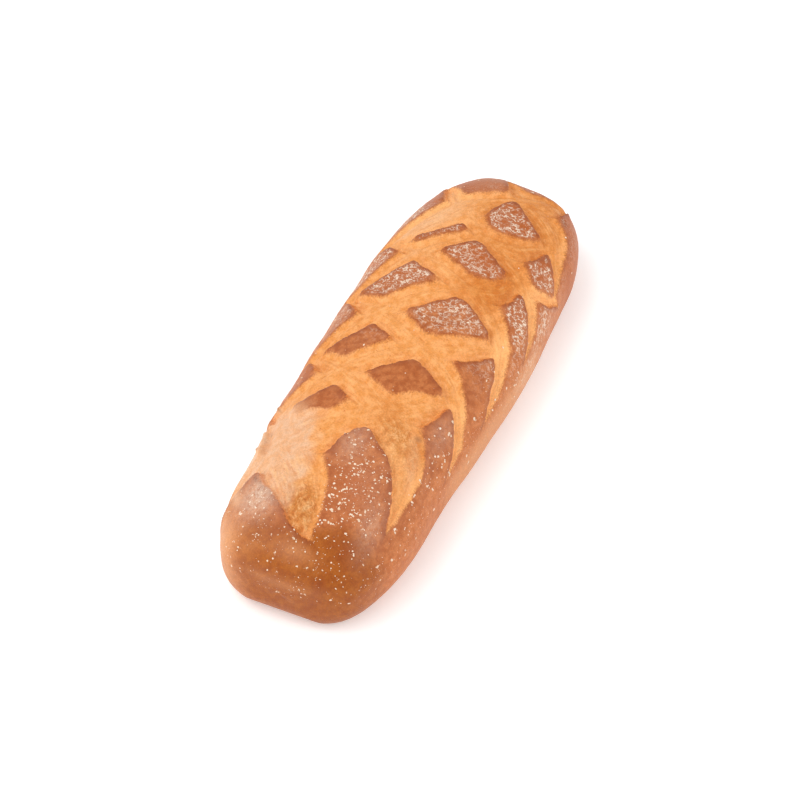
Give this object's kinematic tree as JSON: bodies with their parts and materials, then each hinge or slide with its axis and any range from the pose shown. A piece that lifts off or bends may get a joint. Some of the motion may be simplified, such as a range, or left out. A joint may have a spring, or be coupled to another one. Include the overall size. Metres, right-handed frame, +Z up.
{
  "type": "sourdough polka loaf",
  "caption": "Long white sourdough loaf with a rounded top slashed crosswise into raised crust plates; rests on its flat base.",
  "frame": {"origin": "centre of the loaf's outline seen from above, on the plane that it rests on", "axes": "+X along the loaf towards its rounder back end, +Y across it, +Z up"},
  "size_m": [0.4602, 0.1588, 0.0852],
  "materials": {
    "crust": "baked bread crust: satin golden brown, orange in the split grooves, redder on the raised plates, with flour grains"
  },
  "bodies": {
    "root": {"loaf": "crust"}
  },
  "joints": []
}
